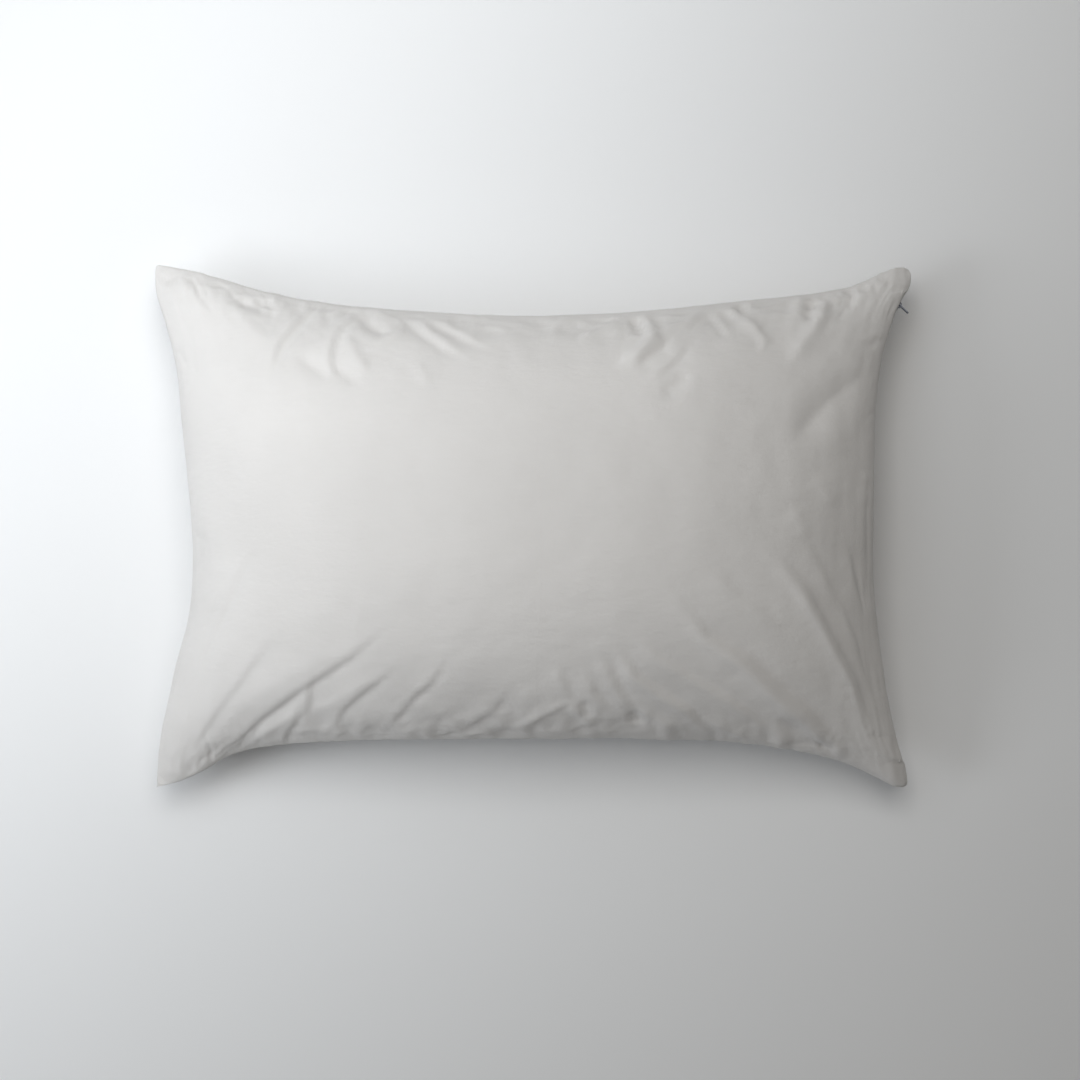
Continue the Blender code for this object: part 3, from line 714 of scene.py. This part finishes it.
class Nodes:
    """A material's node tree, written in few words."""

    def __init__(self, name):
        self.material = bpy.data.materials.new(name)
        self.material.use_nodes = True
        self.tree = self.material.node_tree
        self.tree.nodes.clear()
        self.shader = self.add("ShaderNodeBsdfPrincipled")
        output = self.add("ShaderNodeOutputMaterial")
        self.link(self.shader.outputs[0], output.inputs[0])
        self.place = self.add("ShaderNodeTexCoord").outputs["Object"]

    def add(self, kind, **settings):
        node = self.tree.nodes.new(kind)
        for name, value in settings.items():
            setattr(node, name, value)
        return node

    def link(self, source, target):
        self.tree.links.new(source, target)

    def constants(self, **values):
        """Values set directly on the shader, with _ for the spaces in a socket's name."""
        for name, value in values.items():
            self.shader.inputs[name.replace("_", " ")].default_value = value

    def mottle(self, scale, detail, dark, light, light_from=0.7, roughness=0.5):
        """A base colour that wanders between two tones."""
        stops = ((0.3, srgb(*dark)), (light_from, srgb(*light)))
        tones = self.ramp(self.noise(self.place, scale, detail, roughness), stops)
        self.link(tones, self.shader.inputs["Base Color"])

    def relief(self, height, distance, strength=1.0, below=None):
        """The last bump of a material, linked to its shader."""
        self.link(self.bump(height, distance, strength, below), self.shader.inputs["Normal"])

    def math(self, operation, a, b=0.0):
        node = self.add("ShaderNodeMath", operation=operation)
        for socket, value in zip(node.inputs, (a, b), strict=False):
            if isinstance(value, bpy.types.NodeSocket):
                self.link(value, socket)
            else:
                socket.default_value = value
        return node.outputs[0]

    def noise(self, vector, scale, detail=2.0, roughness=0.5, stretch=(1, 1, 1)):
        mapping = self.add("ShaderNodeMapping")
        mapping.inputs["Scale"].default_value = stretch
        self.link(vector, mapping.inputs["Vector"])
        node = self.add("ShaderNodeTexNoise")
        self.link(mapping.outputs[0], node.inputs["Vector"])
        node.inputs["Scale"].default_value = scale
        node.inputs["Detail"].default_value = detail
        node.inputs["Roughness"].default_value = roughness
        return node.outputs[0]

    def ramp(self, factor, stops):
        node = self.add("ShaderNodeValToRGB")
        self.link(factor, node.inputs[0])
        elements = node.color_ramp.elements
        while len(elements) < len(stops):
            elements.new(0.5)
        for element, (place, colour) in zip(elements, stops, strict=False):
            element.position = place
            element.color = (*colour, 1)
        return node.outputs[0]

    def bump(self, height, distance, strength=1.0, below=None):
        node = self.add("ShaderNodeBump")
        node.inputs["Distance"].default_value = distance
        node.inputs["Strength"].default_value = strength
        self.link(height, node.inputs["Height"])
        if below is not None:
            self.link(below, node.inputs["Normal"])
        return node.outputs[0]

    def cloth_place(self):
        return self.add("ShaderNodeUVMap", uv_map="Cloth").outputs[0]

    def weave(self, vector, pitch):
        """The height of a plain weave with its yarns a pitch apart."""
        split = self.add("ShaderNodeSeparateXYZ")
        self.link(vector, split.inputs[0])
        warp = self.math("SINE", self.math("MULTIPLY", split.outputs[0], math.pi / (pitch * MM)))
        weft = self.math("SINE", self.math("MULTIPLY", split.outputs[1], math.pi / (pitch * MM)))
        return self.math("MULTIPLY", warp, weft)


WEAVE_PITCH = 0.3
CREASE_AT = 7.5  # where the packing crease lies, from the middle of the cloth
CREASE_HALF_WIDTH = 1.1


def cotton():
    """Percale with fine crinkles and the faint crease that packing leaves."""
    n = Nodes("Cotton percale")
    cloth = n.cloth_place()
    n.mottle(9, 3, (223, 220, 217), (229, 226, 223))
    n.constants(Roughness=0.82, Specular_IOR_Level=0.3, Sheen_Weight=0.12, Sheen_Roughness=0.45)
    crinkle = n.noise(n.place, 130, 4, 0.6)
    creases = n.noise(n.place, 40, 3, 0.55, (1, 2.2, 1))
    split = n.add("ShaderNodeSeparateXYZ")
    n.link(cloth, split.inputs[0])
    offset = n.math("DIVIDE", n.math("SUBTRACT", split.outputs[0], CREASE_AT * MM), CREASE_HALF_WIDTH * MM)
    line = n.math("EXPONENT", n.math("MULTIPLY", n.math("MULTIPLY", offset, offset), -1.0))
    broken = n.math("MULTIPLY", line, n.noise(n.place, 60, 2))
    low = n.bump(creases, 0.0012, 0.5)
    low = n.bump(crinkle, 0.0005, 0.45, low)
    low = n.bump(broken, 0.0003, 0.25, low)
    n.relief(n.weave(cloth, WEAVE_PITCH), 0.00005, 0.5, low)
    return n.material


def ticking():
    n = Nodes("Inner ticking")
    n.mottle(12, 3, (233, 230, 222), (240, 238, 232))
    n.constants(Roughness=0.88, Sheen_Weight=0.1)
    low = n.bump(n.noise(n.place, 90, 4, 0.6), 0.0006, 0.5)
    n.relief(n.weave(n.cloth_place(), 0.45), 0.00008, 0.6, low)
    return n.material


def fibre():
    n = Nodes("Polyester fibre")
    n.mottle(60, 5, (232, 233, 234), (247, 247, 247), roughness=0.7)
    n.constants(Roughness=0.95, Sheen_Weight=0.4)
    n.relief(n.noise(n.place, 220, 6, 0.75, (1, 0.3, 1)), 0.002, 0.8)
    return n.material


def thread():
    n = Nodes("Sewing thread")
    n.mottle(500, 2, (214, 211, 204), (228, 226, 220))
    n.constants(Roughness=0.6, Sheen_Weight=0.2)
    n.relief(n.noise(n.place, 3000, 2), 0.0001, 0.5)
    return n.material


def tape():
    n = Nodes("Zip tape")
    n.mottle(40, 3, (206, 204, 199), (216, 214, 210))
    n.constants(Roughness=0.75)
    n.relief(n.weave(n.cloth_place(), 0.55), 0.00015, 0.7)
    return n.material


def nylon():
    n = Nodes("Zip nylon")
    n.mottle(300, 2, (205, 203, 197), (219, 217, 212))
    n.constants(Roughness=0.35, Subsurface_Weight=0.1, Subsurface_Scale=0.001)
    n.relief(n.noise(n.place, 2500, 2), 0.00005, 0.4)
    return n.material


def slider_metal():
    n = Nodes("Slider metal")
    n.mottle(900, 3, (134, 138, 149), (150, 154, 164), 0.75)
    n.constants(Metallic=0.3, Roughness=0.38, Coat_Weight=0.25)
    n.relief(n.noise(n.place, 4000, 3), 0.00004, 0.5)
    return n.material


MATERIALS = {
    "cotton_percale": cotton(),
    "inner_ticking": ticking(),
    "polyester_fibre": fibre(),
    "sewing_thread": thread(),
    "zip_tape": tape(),
    "zip_nylon": nylon(),
    "slider_metal": slider_metal(),
}


def finish_piece(obj, slot, node, body="pillow"):
    """Gives a piece the material of its slot and its body, and hides the CAD node that it stands for."""
    obj.data.materials.clear()
    obj.data.materials.append(MATERIALS[slot])
    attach(obj, body)
    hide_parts(node)
    return obj


# ---------------------------------------------------------------- the cover
def add_cover():
    for name, upper in (("cover_top", True), ("cover_bottom", False)):
        rims = []
        for k in range(1, len(SEAM_ROWS)):
            travelled = 1 + 2.2 * k / len(SEAM_ROWS)
            rims.append((loop_places(k, upper), 1 + travelled / MID_LENGTH))
        panel = add_panel(name, cover_cloth(upper), upper, CLOTH_THICK, rims)
        finish_piece(panel, "cotton_percale", f"{name}_panel")


# ---------------------------------------------------------------- swept strips, coils and threads
def frames_along(path):
    """Two directions square to a path at each point: the first as near Z as it can be."""
    tangent = unit(np.gradient(path, axis=0))
    side = unit(np.cross(tangent, np.array([0, 0, 1.0])))
    return unit(np.cross(side, tangent)), side


def add_tube(name, path, radius, sides):
    """A round thread along a path, closed at both ends."""
    up, side = frames_along(path)
    angles = np.arange(sides) * 2 * math.pi / sides
    ring = np.cos(angles)[None, :, None] * up[:, None] + np.sin(angles)[None, :, None] * side[:, None]
    vertices = (path[:, None] + radius * ring).reshape(-1, 3)
    faces = []
    for k in range(len(path) - 1):
        first = k * sides + np.arange(sides)
        faces += band_faces(first, first + sides).tolist()
    faces.append(list(range(sides - 1, -1, -1)))
    faces.append(list(range((len(path) - 1) * sides, len(path) * sides)))
    return add_mesh(name, vertices, faces)


# Half a tape's section: (across the zip from the chain's middle, out of the zip).
TAPE_SECTION = ((0.6, -1.15), (2.6, -1.1), (4.8, -1.2), (6.4, -1.9), (7.8, -3.0), (9.2, -4.5), (10.4, -6.0))
TAPE_FLAT, TAPE_DEPTH = TAPE_SECTION[2]  # the tape lies flat this far, and slopes inwards from there
TAPE_THICK = 0.6
COIL_PITCH = 1.3
COIL_WIRE = 0.27
COIL_MIDDLE = 1.15  # of one coil, from the middle of the chain
COIL_HALF_WIDTH = 1.3
COIL_HALF_DEPTH = 0.48
STITCH_ACROSS = 8.6
STITCH_DEPTH = -3.95
STITCH_RISE = 0.25
STITCH_PITCH = 2.5
STITCH_RADIUS = 0.18


def tape_place(y, sign, across, out):
    """A line along a tape. Its outer part is drawn in at the zip's ends, where the corners are thin."""
    keep = ends_kept(y) if across > TAPE_FLAT else np.ones_like(y)
    across = min(across, TAPE_FLAT) + max(across - TAPE_FLAT, 0) * keep
    return zip_place(y, sign * across, TAPE_DEPTH + (out - TAPE_DEPTH) * keep)


def add_tape(name, sign):
    y = np.linspace(-TAPE_HALF_LENGTH, TAPE_HALF_LENGTH, 260)
    points = np.stack([tape_place(y, sign, across, out) for across, out in TAPE_SECTION], 1)
    across = [across for across, _ in TAPE_SECTION]
    uv = np.stack(np.meshgrid(y, across, indexing="ij"), -1)
    faces = grid_faces(grid_index(*points.shape[:2]))
    faces = faces if sign < 0 else faces[:, ::-1]
    obj = add_mesh(f"zip_tape_{name}_cloth", points.reshape(-1, 3), faces, uv.reshape(-1, 2))
    finish_piece(thicken(obj, TAPE_THICK), "zip_tape", f"zip_tape_{name}")


def add_coil(name, sign):
    """A helix along the chain, half a turn off the coil that it meshes with."""
    turns = 2 * ZIP_HALF_LENGTH / COIL_PITCH
    phase = np.linspace(0, 2 * math.pi * turns, int(turns * 12))
    shift = 0 if sign > 0 else COIL_PITCH / 2
    along = -ZIP_HALF_LENGTH + phase / (2 * math.pi) * COIL_PITCH + shift
    along = np.clip(along, -ZIP_HALF_LENGTH, ZIP_HALF_LENGTH)
    across = sign * (COIL_MIDDLE + COIL_HALF_WIDTH * np.cos(phase))
    path = zip_place(along, across, COIL_HALF_DEPTH * np.sin(phase))
    finish_piece(add_tube(f"zip_coil_{name}_wire", path, COIL_WIRE, 5), "zip_nylon", f"zip_coil_{name}")


def add_stitching(name, sign):
    y = np.linspace(-TAPE_HALF_LENGTH + 1, TAPE_HALF_LENGTH - 1, 1300)
    out = STITCH_DEPTH + STITCH_RISE * np.sin(y * 2 * math.pi / STITCH_PITCH)
    path = tape_place(y, sign, STITCH_ACROSS, out)
    obj = add_tube(f"zip_stitching_{name}_thread", path, STITCH_RADIUS, 5)
    finish_piece(obj, "sewing_thread", f"zip_stitching_{name}")


def add_zip():
    """Tapes, coils and stitches that follow the cover's zipped side."""
    for name, sign in (("upper", 1), ("lower", -1)):
        add_tape(name, sign)
        add_coil(name, sign)
        add_stitching(name, sign)


def soften(node, slot, body, width):
    """The CAD node's own shape with its edges rounded."""
    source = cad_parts[node]
    obj = bpy.data.objects.new(f"{node}_rounded", source.data.copy())
    obj.matrix_world = source.matrix_world.copy()
    bpy.context.scene.collection.objects.link(obj)
    weld = obj.modifiers.new("Weld", "WELD")
    weld.merge_threshold = 0.00001
    bevel = obj.modifiers.new("Rounded edges", "BEVEL")
    bevel.width = width * MM
    bevel.segments = 3
    bevel.limit_method = "ANGLE"
    bevel.angle_limit = math.radians(30)
    obj.data.polygons.foreach_set("use_smooth", [True] * len(obj.data.polygons))
    return finish_piece(obj, slot, node, body)


def add_slider():
    soften("zip_slider_body", "slider_metal", "zip_slider", 0.25)
    soften("zip_pull_tab", "slider_metal", "zip_tab", 0.2)
    for node in ("zip_top_stop_upper", "zip_top_stop_lower", "zip_bottom_stop"):
        soften(node, "slider_metal", "pillow", 0.2)


# ---------------------------------------------------------------- inside
CASE_COLUMNS = 150
CASE_ROWS = 104


def add_inner_case(u, v):
    """Two plain domes with gentle ripples, each with a flat allowance round it."""
    for name, upper in (("inner_case_top", True), ("inner_case_bottom", False)):
        sign = 1 if upper else -1
        points = skin(u, v, upper, CASE_INSET, CASE_DROP)
        normals = grid_normals(points) * sign
        ripple = 0.8 * noise(u.shape, (2.5, 2.5), 41 + upper) + 0.6 * noise(u.shape, (6, 3), 43 + upper)
        points += (ripple * np.clip(3 * fullness(u, v), 0, 1))[..., None] * normals
        points[..., 2] += 0.5 * sign
        if not upper:
            points[..., 2] = np.maximum(points[..., 2], CASE_DROP - 2)
        rims = []
        for off, outward in ((0.3, 1), (0.25, CASE_ALLOWANCE)):
            edge = seam_sheet(*inset_place(loop_of(u), loop_of(v), CASE_INSET - outward))
            edge[:, 2] += off * sign
            rims.append((edge, 1 + outward / MID_LENGTH))
        panel = add_panel(f"{name}_cloth", points, upper, CASE_THICK, rims)
        finish_piece(panel, "inner_ticking", name)


def add_fill(u, v):
    """The filling: a lumpy, closed form inside the case."""
    top = skin(u, v, True, FILL_INSET, FILL_DROP)
    bottom = skin(u, v, False, FILL_INSET, FILL_DROP)
    lumps = np.abs(1.6 * noise(u.shape, (4, 4), 51) + 0.8 * noise(u.shape, (1.6, 1.6), 52))
    room = np.clip(2 * fullness(u, v), 0, 1)
    top[..., 2] -= lumps * room
    bottom[..., 2] += lumps[::-1] * room
    index = grid_index(*u.shape)
    low_index = index.copy()  # the underside shares the rim's vertices
    low_index[1:-1, 1:-1] = index.size + grid_index(u.shape[0] - 2, u.shape[1] - 2)
    vertices = np.concatenate([top.reshape(-1, 3), bottom[1:-1, 1:-1].reshape(-1, 3)])
    faces = np.concatenate([grid_faces(index), np.roll(grid_faces(low_index)[:, ::-1], 1, axis=1)])
    finish_piece(add_mesh("fibre_fill_lumps", vertices, faces), "polyester_fibre", "fibre_fill")


def add_inner_pillow():
    columns, rows = stations(CASE_COLUMNS, MID_LENGTH), stations(CASE_ROWS, MID_WIDTH)
    u, v = np.meshgrid(columns, rows, indexing="ij")
    add_inner_case(u, v)
    add_fill(u, v)


# ---------------------------------------------------------------- overlocked edges
OVERLOCK_RADIUS = 1.5
OVERLOCK_PITCH = 3.0
OVERLOCK_THREAD = 0.16
OVERLOCKED_SHARE = 0.9  # of a side's half length: the corners are left free
CASE_OVERLOCK_RADIUS = 1.4
CASE_OVERLOCK_PITCH = 3.2


def overlock_path(places, radius, pitch):
    """A thread wrapped round a raw edge that runs through the given places."""
    length = np.r_[0, np.cumsum(np.linalg.norm(np.diff(places, axis=0), axis=1))]
    turns = length[-1] / pitch
    at = np.linspace(0, length[-1], int(turns * 9))
    line = np.stack([np.interp(at, length, places[:, a]) for a in range(3)], -1)
    up, side = frames_along(line)
    phase = 2 * math.pi * at / pitch
    return line + radius * (0.45 * np.sin(phase)[:, None] * up + np.cos(phase)[:, None] * side)


def edge_places(side_name, inset):
    s = np.linspace(-OVERLOCKED_SHARE, OVERLOCKED_SHARE, 500)
    one = np.ones_like(s)
    u, v = {"front": (s, -one), "rear": (s, one), "left": (-one, s)}[side_name]
    return seam_sheet(u * (1 - inset / MID_LENGTH), v * (1 - inset / MID_WIDTH))


def add_overlocks():
    for side_name in ("left", "front", "rear"):
        path = overlock_path(edge_places(side_name, ALLOWANCE - 1.2), OVERLOCK_RADIUS, OVERLOCK_PITCH)
        obj = add_tube(f"seam_overlock_{side_name}_thread", path, OVERLOCK_THREAD, 4)
        finish_piece(obj, "sewing_thread", f"seam_overlock_{side_name}")
    turn = np.linspace(-math.pi, math.pi, 1400)
    u, v = np.clip(1.42 * np.cos(turn), -1, 1), np.clip(1.42 * np.sin(turn), -1, 1)
    places = seam_sheet(*inset_place(u, v, CASE_INSET - CASE_ALLOWANCE + 1))
    path = overlock_path(places, CASE_OVERLOCK_RADIUS, CASE_OVERLOCK_PITCH)
    obj = add_tube("inner_case_overlock_thread", path, OVERLOCK_THREAD, 4)
    finish_piece(obj, "sewing_thread", "inner_case_overlock")


# ---------------------------------------------------------------- floor, light and camera
FLOOR_HALF = 6000


def add_stage():
    corners = [(x * FLOOR_HALF, y * FLOOR_HALF, 0) for x, y in ((-1, -1), (1, -1), (1, 1), (-1, 1))]
    floor = add_mesh("floor", corners, [(0, 1, 2, 3)], smooth=False)
    n = Nodes("Pale floor")
    n.constants(Base_Color=(*srgb(236, 236, 236), 1), Roughness=0.9, Specular_IOR_Level=0.1)
    floor.data.materials.append(n.material)


COOL, WARM, ROOM = (0.91, 0.955, 1), (1, 0.98, 0.94), (1, 0.985, 0.96)
ROOM_STRENGTH = 0.08
MIDDLE, LEFT_REAR = (0, 0, 0), (-456, 390, 0)
# Each light: name, where it is, what it aims at, long and short side, spread in degrees, watts and colour.
LIGHTS = (
    ("Overhead", (50, 750, 2500), MIDDLE, (1400, 1400), 180, 20.3, WARM),
    ("Side", (-1500, -350, 1200), MIDDLE, (700, 700), 180, 7.7, COOL),
    ("Front", (-1000, -1400, 750), MIDDLE, (600, 600), 180, 1.2, COOL),
    ("High softbox", (-456, 390, 1500), LEFT_REAR, (1600, 500), 120, 2.3, COOL),
    ("Low softbox", (-456, 390, 800), LEFT_REAR, (1600, 500), 120, 3, COOL),
)


def add_softbox(name, place, aim, sides, spread, power, colour):
    """A rectangular area light facing its aim, with its long side level."""
    light = bpy.data.lights.new(name, "AREA")
    light.shape = "RECTANGLE"
    light.size, light.size_y = (side * MM for side in sides)
    light.spread = math.radians(spread)
    light.energy = power
    light.color = colour
    obj = bpy.data.objects.new(name, light)
    place, aim = Vector(place) * MM, Vector(aim) * MM
    back = (place - aim).normalized()
    across = Vector((-place[1], place[0], 0)).normalized()
    across = (across - back * across.dot(back)).normalized()
    turn = Matrix((across, back.cross(across), back)).transposed().to_4x4()
    obj.matrix_world = Matrix.Translation(place) @ turn
    obj.visible_camera = False
    bpy.context.scene.collection.objects.link(obj)


def add_lights():
    """A broad light overhead, two from the left that rake the folds, and two softboxes over the left rear
    corner, so that the light fades towards the right front."""
    world = bpy.data.worlds.new("Studio")
    world.use_nodes = True
    background = world.node_tree.nodes["Background"]
    background.inputs[0].default_value = (*ROOM, 1)
    background.inputs[1].default_value = ROOM_STRENGTH
    bpy.context.scene.world = world
    for light in LIGHTS:
        add_softbox(*light)


CAMERA_PLACE = (6.7, -12.1, 2327)  # looking straight down, like the photograph's


def add_camera():
    data = bpy.data.cameras.new("Camera")
    data.lens = 85
    data.sensor_width = 36
    data.clip_end = 50
    camera = bpy.data.objects.new("Camera", data)
    camera.location = Vector(CAMERA_PLACE) * MM
    bpy.context.scene.collection.objects.link(camera)
    bpy.context.scene.camera = camera
    bpy.context.scene.view_settings.view_transform = "Standard"


add_cover()
add_zip()
add_slider()
add_inner_pillow()
add_overlocks()
add_stage()
add_lights()
add_camera()
